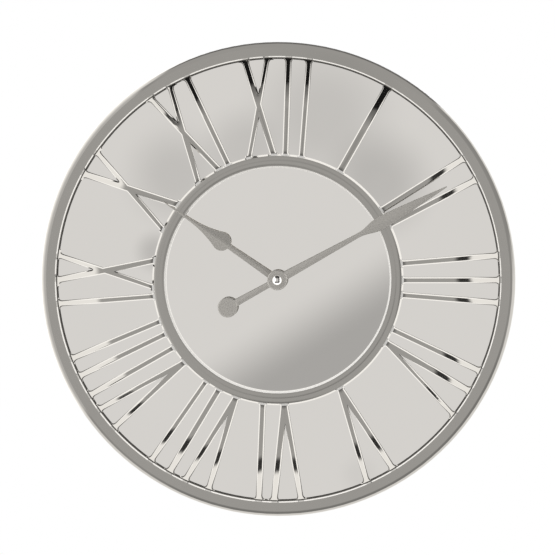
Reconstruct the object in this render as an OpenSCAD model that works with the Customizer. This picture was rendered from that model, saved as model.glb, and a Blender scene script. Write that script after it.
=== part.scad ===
// Wall clock with a mirror dial, an openwork ring of Roman numerals and a quartz movement.
// In every module x points to three o'clock, y to twelve o'clock and z from the wall (z = 0) to the viewer.
// place() stands the clock upright: front to -Y, twelve o'clock to +Z, origin at the hanger's keyhole.

/* [Rim] */
// Outer diameter of the clock
clock_d = 500; // [470:5:600]
// Width of the rim, from its outer edge to the wall of its opening
rim_face_w = 17; // [16:0.5:20]
// Width of the rolled outer edge
rim_edge_w = 5.5; // [3:0.5:6]
// Width of the sloping lip at the inner edge
rim_lip_w = 2.2; // [1:0.1:3]
// Height of the rim's face above the mirror
rim_rise = 6.7; // [5:0.1:9]
// Width of the low ledge under the lip that the numerals end on
flange_w = 0.8; // [0.6:0.1:2]
// Height of the ledge above the mirror
flange_t = 1.4; // [1:0.1:1.6]
// Wall thickness of the rim's skirt
skirt_t = 3; // [2:0.5:4]

/* [Dial] */
// Thickness of the mirror glass
mirror_t = 3; // [2:0.5:5]
// How far the mirror reaches behind the rim
mirror_lap = 6.5; // [4:0.5:7]
// Thickness of the backboard
backboard_t = 4; // [3:0.5:8]
// Screws that hold the backboard to the rim
back_screw_count = 8; // [6:1:12]
// Shank diameter of a backboard screw
back_screw_d = 3; // [2.5:0.1:3.5]
// Head diameter of a backboard screw
back_screw_head_d = 6; // [5:0.1:7]
// How deep a backboard screw goes into the rim
back_screw_bite = 6; // [4:0.5:7]

/* [Inner ring] */
// Outer diameter of the inner ring
ring_d = 264.6; // [240:0.2:280]
// Width of the inner ring
ring_w = 14.4; // [10:0.2:20]
// Width of the inner ring's sloping edges
ring_edge_w = 1.8; // [1:0.1:3]
// Height of those edges
ring_edge_h = 3.2; // [2:0.1:4]
// Rise of the ring's crown above its edges
ring_crown = 0.1; // [0.1:0.05:0.5]
// Height of the ring's edges above the flat of the numerals
ring_stand = 1; // [0.2:0.1:1.5]

/* [Numerals] */
// Stroke width at the rim
stroke_outer_w = 6.4; // [5:0.1:8]
// Stroke width at the inner ring
stroke_inner_w = 6.2; // [4:0.1:7]
// Radius of the flare at a stroke's outer end
flare_r = 4.4; // [2:0.1:6]
// Radius of the flare at a stroke's inner end
ring_flare_r = 1.8; // [1:0.1:3]
// Thickness of the numerals
numeral_t = 3.5; // [2:0.1:3.5]
// Height of the numerals above the mirror where they meet the rim
numeral_end_rise = 2.4; // [2:0.1:3]
// Length of the outer part that bends back to the rim
bend_w = 53; // [30:1:70]
// Radius of that bend
bend_r = 380; // [300:10:600]

/* [Hands] */
// Direction of the hour hand, clockwise from twelve
hour_at = 304.4; // [0:0.1:360]
// Direction of the minute hand, clockwise from twelve
minute_at = 61.1; // [0:0.1:360]
// Thickness of a hand at its ridge
hand_t = 2.2; // [1.6:0.1:3]
// Fall of a hand's two faces from the ridge, per millimetre
hand_fall = 0.06; // [0.04:0.01:0.15]
// Length of the hour hand from its axis
hour_len = 147; // [130:1:170]
// Distance of the hour hand's spade from its axis
spade_at = 71.5; // [60:0.5:80]
// Radius of the spade's round base
spade_r = 9.8; // [6:0.1:11]
// Distance from the axis at which the spade has drawn in to a needle
needle_at = 119; // [105:1:125]
// Width of the needle
needle_w = 2.6; // [1.6:0.1:4]
// Width of the hour hand's stem at the boss
hour_stem_w = 7.6; // [5:0.1:9]
// Width of the hour hand's stem at the spade
hour_neck_w = 5; // [3:0.1:6]
// Length of the minute hand from its axis
minute_len = 203; // [185:1:210]
// Width of the minute hand's arm at the boss
minute_arm_w = 9.4; // [6:0.1:11]
// Distance of the minute hand's neck from its axis
minute_neck_at = 97; // [85:1:105]
// Width of the neck
minute_neck_w = 4.4; // [3:0.1:6]
// Distance of the leaf's widest point from its axis
leaf_at = 124; // [118:1:145]
// Width of the leaf
leaf_w = 14.2; // [8:0.1:16]
// Diameter of the minute hand's boss
boss_d = 21.3; // [18:0.1:26]
// Diameter of the hour hand's boss
hour_boss_d = 17; // [14:0.1:18]
// Distance of the counterweight from the axis
tail_at = 59.7; // [45:0.1:70]
// Diameter of the counterweight
tail_disc_d = 21; // [15:0.1:25]
// Width of the tail at the boss
tail_root_w = 5.4; // [4:0.1:7]
// Width of the tail at the counterweight
tail_w = 7.7; // [5:0.1:9]
// Bevel round the boss and the counterweight
boss_bevel = 0.5; // [0.2:0.1:0.8]
// Diameter of the cap nut
cap_d = 9.9; // [8:0.1:12]
// Height of the cap nut
cap_h = 4.6; // [4:0.1:7]
// Radius of the cap nut's dome
cap_dome_r = 24; // [12:1:40]
// Room between the rings and the hour hand, and between the hands
hand_gap = 1.2; // [0.6:0.1:3]

/* [Movement] */
// Width and height of the movement
movement_w = 58; // [52:1:66]
// Depth of the movement
movement_t = 16; // [16:0.5:20]
// Wall thickness of the movement's case
case_wall = 1.4; // [1:0.1:2]
// Thickness of the movement's front plate and rear floor
plate_t = 1.2; // [1:0.1:1.5]
// Room between the movement and the wall
wall_gap = 4; // [3.5:0.1:6]
// Diameter of the threaded bushing
bushing_d = 8; // [7:0.1:9]
// Diameter of the hour tube
hour_tube_d = 5.2; // [4.8:0.1:5.6]
// Diameter of the minute arbor
arbor_d = 3.5; // [3:0.1:3.8]
// Width across the flats of the minute arbor under the hand
arbor_flat_w = 2.7; // [2.2:0.1:2.8]
// Thickness of the gasket in front of the movement
gasket_t = 0.8; // [0.5:0.1:1.5]
// Diameter of the gasket
gasket_d = 22; // [16:1:30]
// Diameter of the washer under the nut
washer_d = 16; // [15:0.5:20]
// Thickness of the washer under the nut
washer_t = 0.6; // [0.4:0.1:1]
// Thickness of the bushing nut
nut_t = 3; // [2:0.1:3.5]
// Width of the bushing nut over its corners
nut_d = 13.8; // [12:0.1:16]
// Diameter of the setting knob
knob_d = 12; // [9:0.5:14]

/* [Battery] */
// Diameter of the cell
cell_d = 14.5; // [13:0.1:16]
// Length of the cell with its nub
cell_len = 50.5; // [44:0.1:58]

/* [Hanger] */
// Distance of the keyhole below the rim's top
hanger_drop = 45; // [40:1:80]
// Width of the hanger between its legs
hanger_w = 44; // [36:1:60]
// Height of the hanger
hanger_h = 34; // [30:1:44]
// Sheet thickness of the hanger
hanger_t = 1.5; // [1:0.1:2]
// Length of each foot of the hanger
hanger_foot = 11; // [9:0.5:16]
// Room between the hanger and the wall
hanger_gap = 2; // [1:0.1:3]
// Diameter of the keyhole's round entry
keyhole_d = 9; // [7:0.1:10]
// Width of the keyhole's slot
keyslot_w = 4.4; // [3.5:0.1:4.6]
// Length of the keyhole's slot above the entry's centre
keyslot_len = 10; // [7:0.5:11]

/* [Hidden] */
$fn = 96;

// Clearances: pieces pushed together, pieces that run in each other, pieces dropped in place
push_fit = 0.02;
run_fit = 0.06;
loose_fit = 0.3;
// Overshoot of a cut
cut = 1;
// How far a hand's boss stands over the ridge, and the bushing past its nut
boss_step = 0.2;
bushing_proud = 1;
// Rounding of the cap nut's edge
cap_edge = 0.5;
// Width of a hand's tip
tip_w = 0.6;
// Angle at which the rim's rolled edge leaves its face
rim_edge_turn = 12;

// Levels from the wall to the viewer
case_z = wall_gap;
floor_z = case_z + plate_t;
plate_z = case_z + movement_t - plate_t;
front_z = case_z + movement_t;
backboard_z = front_z + gasket_t;
glass_z = backboard_z + backboard_t;
dial_z = glass_z + mirror_t;
rim_z = dial_z + rim_rise;
flange_z = dial_z + flange_t;
numeral_end_z = dial_z + numeral_end_rise;
flat_z = numeral_end_z + bend_drop(bend_w);
ring_z = flat_z + ring_stand;
ring_side_z = ring_z - ring_edge_h;
hour_z = max(ring_z + ring_crown, rim_z) + hand_gap;
minute_z = hour_z + hand_t + hand_gap;
boss_t = hand_t + boss_step;
cap_z = minute_z + boss_t;
nut_z = dial_z + washer_t;
bushing_z = nut_z + nut_t + bushing_proud;

// Radii of the dial
clock_r = clock_d / 2;
lip_r = clock_r - rim_face_w;
flange_r = lip_r - flange_w;
mirror_r = flange_r + mirror_lap;
rebate_r = mirror_r + loose_fit;
skirt_r = clock_r - skirt_t;
backboard_r = skirt_r - loose_fit;
back_screw_r = (rebate_r + skirt_r) / 2;
ring_r = ring_d / 2;
bend_start_r = lip_r - bend_w;
bushing_r = bushing_d / 2;
hour_tube_r = hour_tube_d / 2;
arbor_r = arbor_d / 2;
hanger_at = clock_r - hanger_drop;

// Gear train: tooth counts, modules in millimetres and levels
cannon_teeth = 12;
motion_teeth = 36;
motion_mod = 0.5;
motion_pinion_teeth = 10;
hour_teeth = 40;
hour_mod = (cannon_teeth + motion_teeth) * motion_mod / (motion_pinion_teeth + hour_teeth);
centre_teeth = 64;
third_pinion_teeth = 8;
centre_mod = 0.34;
third_teeth = 60;
seconds_pinion_teeth = 8;
third_mod = (centre_teeth + third_pinion_teeth) * centre_mod / (third_teeth + seconds_pinion_teeth);
seconds_teeth = 40;
fifth_pinion_teeth = 8;
seconds_mod = 0.3;
fifth_teeth = 48;
rotor_pinion_teeth = 8;
fifth_mod = 0.25;
addendum = 0.8;
dedendum = 1.25;
wheel_t = 0.8;
pinion_t = 1.2;
wheel_step = 2;
// Room over the floor and between levels, and how far a pinion or a step laps its neighbour
wheel_room = 0.6;
level_gap = 0.4;
lap = 0.2;
fifth_z = floor_z + wheel_room;
seconds_z = fifth_z + wheel_step;
third_z = seconds_z + wheel_step;
centre_z = third_z + wheel_step;
motion_z = centre_z + wheel_step + level_gap;
hour_wheel_z = motion_z + wheel_step + level_gap;

// Places of the arbors: the direction and the distance from the arbor that each is geared to
motion_dir = 60;
third_dir = 150;
fifth_dir = 20;
rotor_dir = 20;
motion_xy = polar((cannon_teeth + motion_teeth) * motion_mod / 2, motion_dir);
third_xy = polar((centre_teeth + third_pinion_teeth) * centre_mod / 2, third_dir);
fifth_xy = polar((seconds_teeth + fifth_pinion_teeth) * seconds_mod / 2, fifth_dir);
rotor_xy = fifth_xy + polar((fifth_teeth + rotor_pinion_teeth) * fifth_mod / 2, rotor_dir);
train_arbor_r = 0.6;
post_r = 0.4;
pivot_depth = 0.7;
magnet_r = 2.6;
magnet_z = fifth_z + pinion_t + wheel_room + level_gap;
magnet_t = 3;
// The minute arbor's tail, which the seconds arbor runs in
tail_z = centre_z - level_gap;
tail_bore = 2;
// Setting knob
knob_teeth = 30;
knob_t = 2.4;
knob_bite = 1;
knob_z = case_z - level_gap - knob_t;
knob_seat_z = case_z - level_gap - knob_bite;

// Battery bay, right under the centre wheel
cell_r = cell_d / 2;
nub_len = 1;
nub_d = 5.5;
cell_edge = 0.8;
contact_room = 1.5;
contact_t = 0.4;
plus_plate = [8, 6];
plus_dimple_r = 2;
minus_plate = [10, 10];
spring_r = [4, 2.4];
bay_len = cell_len + 2 * contact_room;
bay_wall = 0.9;
train_clear = 0.45;
bay_high = -centre_mod * (centre_teeth / 2 + addendum) - train_clear - bay_wall;
cell_y = bay_high - loose_fit - cell_r;
bay_low = cell_y - cell_r - loose_fit;
cell_z = plate_z - loose_fit - cell_r;

// Outline of the movement: its lower edge follows the battery bay
case_corner_r = 3;
case_low = bay_low - case_wall;
case_mid = case_low + movement_w / 2;
room_x = movement_w / 2 - case_wall;
room_high = case_low + movement_w - case_wall;

// Stepping motor, from the rotor to the case's corner
stator_room = 3;
rotor_land = 4.5;
stator_z = magnet_z + wheel_t;
stator_t = 1;
stator_leg_w = 3.5;
stator_left = rotor_xy[0] - rotor_land;
stator_right = room_x - stator_room;
stator_low = rotor_xy[1] - rotor_land;
stator_high = room_high - stator_room;
coil_drop = 4;
coil_r = 3.4;
coil_flange_t = 0.6;

// Circuit board
board_w = 21;
board_h = 12;
board_t = 1;
board_room = 1;
board_corner_r = 1;
board_post_r = 1.5;
board_post_in = 3;
board_z = floor_z + board_room;
board_x = -room_x + board_room + board_w / 2;
board_y = room_high - board_room - board_h / 2;
crystal_d = 2;
crystal_len = 6;

// Hanger
hanger_screw_d = 2.5;
hanger_screw_head_d = 5;
hanger_screw_bite = 3;
hanger_leg = hanger_w / 2;

// Strokes of each numeral, read clockwise: degrees from the hour line near the rim and near the inner ring,
// and the stroke's weight. The two arms of a V come together at the ring, the two of an X cross.
STROKES = [
    [[-0.3, -0.1, 1.3]],
    [[-3.2, -3.8, 1.05], [3.2, 3.7, 1.05]],
    [[-6.4, -7.4, 1], [0, 0.1, 1], [5.9, 6.8, 1]],
    [[-5.8, -6.5, 1], [0.1, 0.1, 1.1], [7.3, 1.2, 0.75]],
    [[-1.3, -0.1, 1], [6, 1, 0.95]],
    [[-5.9, -3.6, 0.95], [0.8, -2.4, 1.1], [5, 6.7, 1.05]],
    [[-11.7, -10.8, 0.95], [-5.4, -9.7, 0.95], [-0.7, -1.7, 1.1], [5, 5.1, 0.95]],
    [[-12.2, -11.8, 0.95], [-6.2, -10.7, 0.9], [-1.7, -3, 1], [4, 4.1, 1], [9, 10.2, 1]],
    [[-6.4, -7.6, 0.95], [0.1, 7.6, 1.05], [5.9, -2.3, 0.85]],
    [[-1.2, 5.8, 1.1], [4.7, -5, 0.85]],
    [[-4.8, 0.9, 1], [0.5, -8.1, 0.9], [5.8, 6.6, 1]],
    [[-8.3, -2.8, 1.05], [-3.1, -11.8, 0.8], [2.8, 3.4, 1], [8.2, 10.6, 0.95]]
];
// Radii at which those directions are taken, a little inside the rim and outside the ring
outer_read_in = 5;
inner_read_out = 7;
outer_read_r = flange_r - outer_read_in;
inner_read_r = ring_r + inner_read_out;
// How far a stroke runs on past the rings before it is trimmed
stroke_lap = 3.7;
hour_step = 360 / 12;

function polar(r, a) = [r * cos(a), r * sin(a)];
// A point at a clock direction, clockwise from twelve
function clock_point(r, a) = [r * sin(a), r * cos(a)];
// How far the bend has fallen at a distance from its start
function bend_drop(d) = d <= 0 ? 0 : bend_r - sqrt(bend_r * bend_r - d * d);
function numeral_top(r) = flat_z - bend_drop(r - bend_start_r);
// Radius of the inner ring's outside at a level
function ring_side(z) = ring_r - ring_edge_w * max(0, z - ring_side_z) / ring_edge_h;
// Extra half-width of a stroke at a distance from an end with a flare of radius r
function flare(d, r) = d >= r ? 0 : d <= 0 ? r : r - sqrt(r * r - pow(r - d, 2));
// A point of a rolled edge between a face and a side, at an angle from the face: 90 is the side itself
function rolled(face, side, turn, a) = [
    face[0] + (side[0] - face[0]) * (sin(a) - sin(turn)) / (1 - sin(turn)),
    face[1] + (side[1] - face[1]) * (1 - cos(a) / cos(turn))];
// An arc of points about a centre
function arc(c, r, from, to, steps) = [for (i = [0:steps]) c + polar(r, from + (to - from) * i / steps)];
function rounded_rect(w, h, r) = concat(
    arc([w / 2 - r, h / 2 - r], r, 0, 90, 5), arc([r - w / 2, h / 2 - r], r, 90, 180, 5),
    arc([r - w / 2, r - h / 2], r, 180, 270, 5), arc([w / 2 - r, r - h / 2], r, 270, 360, 5));
// A closed outline from half-widths along +y, given as [distance, half-width]
function outline(rows) = concat([for (p = rows) [p[1], p[0]]],
    [for (i = [len(rows) - 1:-1:0]) [-rows[i][1], rows[i][0]]]);
// A gear's outline with a tooth on +x: roomy straight-sided teeth, four points a tooth
function gear_points(teeth, mod) = [for (i = [0:teeth - 1], k = [0:3])
    polar(mod * (teeth / 2 + (k == 1 || k == 2 ? addendum : -dedendum)),
        (i + [-0.27, -0.08, 0.08, 0.27][k]) * 360 / teeth)];

module place() {
    translate([0, hanger_gap, -hanger_at])
        rotate([90, 0, 0])
            children();
}

module disc(r, z0, z1) {
    translate([0, 0, z0])
        cylinder(r = r, h = z1 - z0);
}

module at(xy) {
    translate([xy[0], xy[1], 0])
        children();
}

// A gear from level z0, turned so that a tooth or a gap points in a direction
module gear(teeth, mod, z0, t, direction, gap) {
    translate([0, 0, z0])
        rotate([0, 0, direction + (gap ? 180 / teeth : 0)])
            linear_extrude(height = t)
                polygon(gear_points(teeth, mod));
}

// Rim

module outer_rim() {
    edge_face = [clock_r - rim_edge_w, rim_z];
    edge_side = [clock_r, rim_z - rim_edge_w * cos(rim_edge_turn) / (1 - sin(rim_edge_turn))];
    steps = 9;
    ease = flange_w / 3;
    color("silver") place() difference() {
        rotate_extrude()
            polygon(concat(
                [[skirt_r, 0], [clock_r, 0]],
                [for (i = [0:steps])
                    rolled(edge_face, edge_side, rim_edge_turn, 90 - (90 - rim_edge_turn) * i / steps)],
                [[lip_r + rim_lip_w, rim_z], [lip_r, numeral_end_z], [lip_r, flange_z],
                [flange_r + ease, flange_z], [flange_r, flange_z - ease], [flange_r, dial_z],
                [rebate_r, dial_z], [rebate_r, glass_z], [skirt_r, glass_z]]));
        back_screw_places()
            disc(back_screw_d / 2 + push_fit, glass_z - cut, glass_z + back_screw_bite + loose_fit);
    }
}

module inner_ring() {
    half = ring_w / 2;
    mid = ring_r - half;
    flat = half - ring_edge_w;
    crown_r = (flat * flat + ring_crown * ring_crown) / (2 * ring_crown);
    reach = asin(flat / crown_r);
    color("silver") place() rotate_extrude()
        polygon(concat(
            [[mid - half, dial_z], [mid + half, dial_z], [mid + half, ring_side_z]],
            arc([mid, ring_z + ring_crown - crown_r], crown_r, 90 - reach, 90 + reach, 8),
            [[mid - half, ring_side_z]]));
}

// Numerals

// The arched band that every numeral is cut from: it meets the ring's sloping side and ends on the rim's ledge
module numeral_band() {
    high = lip_r - push_fit;
    step_r = flange_r - push_fit;
    step_z = flange_z + push_fit;
    steps = 12;
    bent = [for (i = [0:steps]) bend_start_r + (step_r - bend_start_r) * i / steps];
    under = dial_z + loose_fit;
    flat_under = max(under, flat_z - numeral_t);
    rotate_extrude()
        polygon(concat(
            [[ring_side(flat_z) + push_fit, flat_z]], [for (r = bent) [r, numeral_top(r)]],
            [[high, numeral_top(high)], [high, step_z], [step_r, step_z]],
            [for (i = [steps:-1:0]) [bent[i], max(under, numeral_top(bent[i]) - numeral_t)]],
            [[ring_side(flat_under) + push_fit, flat_under]],
            flat_under < ring_side_z ? [[ring_r + push_fit, ring_side_z]] : []));
}

// One stroke seen from the front, flared where it meets the rings
module stroke(hour, turn) {
    outer = clock_point(outer_read_r, hour * hour_step + turn[0]);
    inner = clock_point(inner_read_r, hour * hour_step + turn[1]);
    along = outer - inner;
    run = norm(along);
    lean = atan2(along[0], along[1]);
    // distances along the stroke from its reading point at the ring
    from = ring_r - inner_read_r;
    to = run + lip_r - outer_read_r;
    grow = (stroke_outer_w - stroke_inner_w) / 2 / (to - from);
    marks = concat([from - stroke_lap], [for (i = [0, 1, 2, 3, 4, 6]) from + ring_flare_r * i / 6],
        [for (i = [6, 4, 3, 2, 1, 0]) to - flare_r * i / 6], [to + stroke_lap]);
    translate(inner)
        rotate(-lean)
            polygon(outline([for (s = marks)
                [s, turn[2] * (stroke_inner_w / 2 + grow * (s - from))
                    + flare(s - from, ring_flare_r) + flare(to - s, flare_r)]]));
}

module numeral(hour) {
    color("silver") place() intersection() {
        translate([0, 0, dial_z])
            linear_extrude(height = flat_z - dial_z + cut)
                union() {
                    for (turn = STROKES[hour - 1]) stroke(hour, turn);
                }
        numeral_band();
    }
}

// Dial and back

module back_screw_places() {
    for (i = [0:back_screw_count - 1])
        rotate([0, 0, (i + 0.5) * 360 / back_screw_count])
            translate([back_screw_r, 0, 0])
                children();
}

module mirror_glass() {
    color("lightblue") place() difference() {
        disc(mirror_r, glass_z, dial_z);
        disc(bushing_r + loose_fit, glass_z - cut, dial_z + cut);
    }
}

module backboard() {
    color("tan") place() difference() {
        disc(backboard_r, backboard_z, glass_z);
        disc(bushing_r + loose_fit, backboard_z - cut, glass_z + cut);
        back_screw_places()
            disc(back_screw_d / 2 + push_fit, backboard_z - cut, glass_z + cut);
        hanger_screw_places()
            disc(hanger_screw_d / 2 + push_fit, backboard_z - cut, backboard_z + hanger_screw_bite + push_fit);
    }
}

module back_screws() {
    color("dimgray") place() back_screw_places() {
        disc(back_screw_d / 2, backboard_z - push_fit, glass_z + back_screw_bite);
        translate([0, 0, backboard_z])
            mirror([0, 0, 1])
                screw_head(back_screw_head_d);
    }
}

// A pan head with a cross recess, from z = 0 up
module screw_head(d) {
    difference() {
        rotate_extrude()
            polygon(concat([[0, 0], [d / 2, 0]], arc([d / 4, d / 6], d / 4, 0, 90, 5), [[0, d / 6 + d / 4]]));
        for (a = [0, 90])
            rotate([0, 0, a])
                translate([-d / 4, -d / 16, d / 4])
                    cube([d / 2, d / 8, d]);
    }
}

// Hanger

module hanger_screw_places() {
    for (side = [-1, 1])
        translate([side * (hanger_leg + hanger_foot / 2), hanger_at, 0])
            children();
}

// A strip bent to a hat, its web toward the wall, with a keyhole
module hanger_bracket() {
    web = hanger_gap + hanger_t;
    foot = backboard_z - hanger_t;
    end = hanger_leg + hanger_foot;
    inside = hanger_leg - hanger_t;
    color("gray") place() difference() {
        translate([0, hanger_at + hanger_h / 2, 0])
            rotate([90, 0, 0])
                linear_extrude(height = hanger_h)
                    polygon([[-end, backboard_z], [-end, foot], [-hanger_leg, foot], [-hanger_leg, hanger_gap],
                        [hanger_leg, hanger_gap], [hanger_leg, foot], [end, foot], [end, backboard_z],
                        [inside, backboard_z], [inside, web], [-inside, web], [-inside, backboard_z]]);
        translate([0, hanger_at, hanger_gap - cut]) {
            cylinder(d = keyhole_d, h = hanger_t + 2 * cut);
            translate([-keyslot_w / 2, 0, 0])
                cube([keyslot_w, keyslot_len, hanger_t + 2 * cut]);
            translate([0, keyslot_len, 0])
                cylinder(d = keyslot_w, h = hanger_t + 2 * cut);
        }
        hanger_screw_places()
            disc(hanger_screw_d / 2 + push_fit, foot - cut, backboard_z + cut);
    }
}

module hanger_screws() {
    color("dimgray") place() hanger_screw_places() {
        disc(hanger_screw_d / 2, backboard_z - hanger_t - push_fit, backboard_z + hanger_screw_bite);
        translate([0, 0, backboard_z - hanger_t])
            mirror([0, 0, 1])
                screw_head(hanger_screw_head_d);
    }
}

// Fixing of the movement

module dial_gasket() {
    color("black") place() difference() {
        disc(gasket_d / 2, front_z, backboard_z);
        disc(bushing_r + push_fit, front_z - cut, backboard_z + cut);
    }
}

module bushing_washer() {
    color("gold") place() difference() {
        disc(washer_d / 2, dial_z, nut_z);
        disc(bushing_r + push_fit, dial_z - cut, nut_z + cut);
    }
}

module bushing_nut() {
    color("gold") place() difference() {
        translate([0, 0, nut_z])
            cylinder(d = nut_d, h = nut_t, $fn = 6);
        disc(bushing_r + push_fit, nut_z - cut, nut_z + nut_t + cut);
    }
}

// Movement housing

// The case's outline with the battery bay's, which stands out at the sides of a narrow movement
module case_outline(z0, z1) {
    bay_h = bay_high + bay_wall - case_low;
    translate([0, 0, z0])
        linear_extrude(height = z1 - z0) {
            translate([0, case_mid])
                polygon(rounded_rect(movement_w, movement_w, case_corner_r));
            translate([0, case_low + bay_h / 2])
                polygon(rounded_rect(bay_len + 2 * case_wall, bay_h, case_corner_r));
        }
}

module movement_plate() {
    color("dimgray") place() difference() {
        union() {
            case_outline(plate_z, front_z);
            disc(bushing_r, front_z - push_fit, bushing_z);
        }
        disc(hour_tube_r + run_fit, plate_z - cut, bushing_z + cut);
        at(third_xy)
            disc(train_arbor_r + run_fit, plate_z - cut, plate_z + pivot_depth);
        at(motion_xy)
            disc(train_arbor_r + run_fit, plate_z - cut, plate_z + pivot_depth);
    }
}

module movement_case() {
    color("black") place() difference() {
        union() {
            difference() {
                case_outline(case_z, plate_z);
                // room for the train
                cube_between([-room_x, bay_high + bay_wall, floor_z], [room_x, room_high, plate_z + cut]);
                // battery bay, open to the back
                cube_between([-bay_len / 2, bay_low, case_z - cut], [bay_len / 2, bay_high, plate_z + cut]);
            }
            at(fifth_xy)
                disc(post_r, floor_z - cut / 2, seconds_z + pinion_t);
            at(rotor_xy)
                disc(post_r, floor_z - cut / 2, magnet_z + magnet_t + level_gap);
            for (x = [stator_left + stator_leg_w / 2, stator_right - stator_leg_w / 2])
                translate([x, stator_high - stator_leg_w / 2, 0])
                    disc(stator_leg_w / 2, floor_z - cut / 2, stator_z);
            for (side = [-1, 1])
                translate([board_x + side * (board_w / 2 - board_post_in), board_y, 0])
                    disc(board_post_r, floor_z - cut / 2, board_z);
        }
        at(third_xy)
            disc(train_arbor_r + run_fit, floor_z - pivot_depth, floor_z + cut);
        disc(train_arbor_r + run_fit, floor_z - pivot_depth, floor_z + cut);
        at(motion_xy)
            disc(train_arbor_r + run_fit, case_z - cut, floor_z + cut);
    }
}

// Gear train

module centre_wheel() {
    color("goldenrod") place() difference() {
        union() {
            gear(centre_teeth, centre_mod, centre_z, wheel_t, third_dir, false);
            gear(cannon_teeth, motion_mod, motion_z - lap, pinion_t, motion_dir, false);
            disc(arbor_r, tail_z, minute_z - lap);
            // flats that the minute hand fits over, and the thread of the cap nut
            intersection() {
                disc(arbor_r, minute_z - 2 * lap, cap_z);
                translate([-arbor_flat_w / 2, -arbor_d, 0])
                    cube([arbor_flat_w, 2 * arbor_d, cap_z + cut]);
            }
            disc(arbor_flat_w / 2, cap_z - lap, cap_z + cap_h / 2);
        }
        // the seconds arbor runs in its tail
        disc(train_arbor_r + run_fit, tail_z - cut, tail_z + tail_bore);
    }
}

module hour_wheel() {
    color("goldenrod") place() difference() {
        union() {
            gear(hour_teeth, hour_mod, hour_wheel_z, wheel_t, motion_dir, false);
            disc(hour_tube_r, hour_wheel_z, hour_z + boss_t);
        }
        disc(arbor_r + run_fit, hour_wheel_z - cut, hour_z + boss_t + cut);
    }
}

module motion_wheel() {
    color("goldenrod") place() at(motion_xy) {
        gear(motion_teeth, motion_mod, motion_z, wheel_t, motion_dir + 180, true);
        gear(motion_pinion_teeth, hour_mod, hour_wheel_z - lap, pinion_t, motion_dir + 180, true);
        disc(train_arbor_r, knob_seat_z, plate_z + pivot_depth - run_fit);
    }
}

module setting_knob() {
    color("black") place() at(motion_xy) difference() {
        translate([0, 0, knob_z])
            linear_extrude(height = knob_t)
                polygon(gear_points(knob_teeth, knob_d / (knob_teeth + 2 * addendum)));
        disc(train_arbor_r + push_fit, knob_seat_z - push_fit, case_z);
    }
}

module third_wheel() {
    color("goldenrod") place() at(third_xy) {
        gear(third_teeth, third_mod, third_z, wheel_t, third_dir + 180, false);
        gear(third_pinion_teeth, centre_mod, centre_z - lap, pinion_t, third_dir + 180, true);
        disc(train_arbor_r, floor_z - pivot_depth + run_fit, plate_z + pivot_depth - run_fit);
    }
}

module seconds_wheel() {
    color("goldenrod") place() {
        gear(seconds_teeth, seconds_mod, seconds_z, wheel_t, fifth_dir, false);
        gear(seconds_pinion_teeth, third_mod, third_z - lap, pinion_t, third_dir, true);
        disc(train_arbor_r, floor_z - pivot_depth + run_fit, tail_z + tail_bore - lap);
    }
}

module fifth_wheel() {
    pinion_z = fifth_z + wheel_t / 2;
    pinion_top = seconds_z + pinion_t - lap;
    color("ivory") place() at(fifth_xy) difference() {
        union() {
            gear(fifth_teeth, fifth_mod, fifth_z, wheel_t, rotor_dir, false);
            gear(fifth_pinion_teeth, seconds_mod, pinion_z, pinion_top - pinion_z, fifth_dir + 180, true);
        }
        disc(post_r + run_fit, fifth_z - cut, seconds_z + pinion_t + cut);
    }
}

module rotor() {
    pinion_z = fifth_z - lap;
    color("gray") place() at(rotor_xy) difference() {
        union() {
            gear(rotor_pinion_teeth, fifth_mod, pinion_z, magnet_z + lap - pinion_z, rotor_dir + 180, true);
            disc(magnet_r, magnet_z, magnet_z + magnet_t);
        }
        disc(post_r + run_fit, fifth_z - cut, magnet_z + magnet_t + cut);
    }
}

// Stepping motor, circuit and battery

module stator() {
    color("silver") place() difference() {
        cube_between([stator_left, stator_low, stator_z], [stator_right, stator_high, stator_z + stator_t]);
        // window between the legs that the coil sits in
        cube_between([stator_left + stator_leg_w, rotor_xy[1] + rotor_land, stator_z - cut],
            [stator_right - stator_leg_w, stator_high + cut, stator_z + stator_t + cut]);
        at(rotor_xy)
            disc(magnet_r + loose_fit, stator_z - cut, stator_z + stator_t + cut);
    }
}

module cube_between(low, high) {
    translate(low)
        cube(high - low);
}

module coil() {
    from = stator_left + stator_leg_w + push_fit;
    span = stator_right - stator_leg_w - push_fit - from;
    color("chocolate") place()
        translate([from, stator_high - coil_drop, stator_z + stator_t / 2])
            rotate([0, 90, 0]) {
                cylinder(r = coil_r - coil_flange_t, h = span);
                cylinder(r = coil_r, h = coil_flange_t);
                translate([0, 0, span - coil_flange_t])
                    cylinder(r = coil_r, h = coil_flange_t);
            }
}

module circuit_board() {
    color("green") place()
        translate([board_x, board_y, board_z])
            linear_extrude(height = board_t)
                polygon(rounded_rect(board_w, board_h, board_corner_r));
}

module quartz_crystal() {
    color("silver") place()
        translate([board_x - crystal_len / 2, board_y, board_z + board_t + crystal_d / 2])
            rotate([0, 90, 0])
                cylinder(d = crystal_d, h = crystal_len);
}

module battery() {
    can = cell_len - nub_len;
    color("darkorange") place()
        translate([-cell_len / 2, cell_y, cell_z])
            rotate([0, 90, 0])
                rotate_extrude()
                    polygon([[0, 0], [cell_r - cell_edge, 0], [cell_r, cell_edge], [cell_r, can - cell_edge],
                        [cell_r - cell_edge, can], [nub_d / 2, can], [nub_d / 2, cell_len], [0, cell_len]]);
}

module positive_contact() {
    color("silver") place()
        translate([bay_len / 2, cell_y, cell_z])
            rotate([0, -90, 0]) {
                translate(-plus_plate / 2)
                    linear_extrude(height = contact_t)
                        square(plus_plate);
                cylinder(r = plus_dimple_r, h = contact_room - push_fit);
            }
}

module negative_contact() {
    color("silver") place()
        translate([-bay_len / 2, cell_y, cell_z])
            rotate([0, 90, 0]) {
                translate(-minus_plate / 2)
                    linear_extrude(height = contact_t)
                        square(minus_plate);
                cylinder(r1 = spring_r[0], r2 = spring_r[1], h = contact_room - push_fit);
            }
}

// Hands

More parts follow.
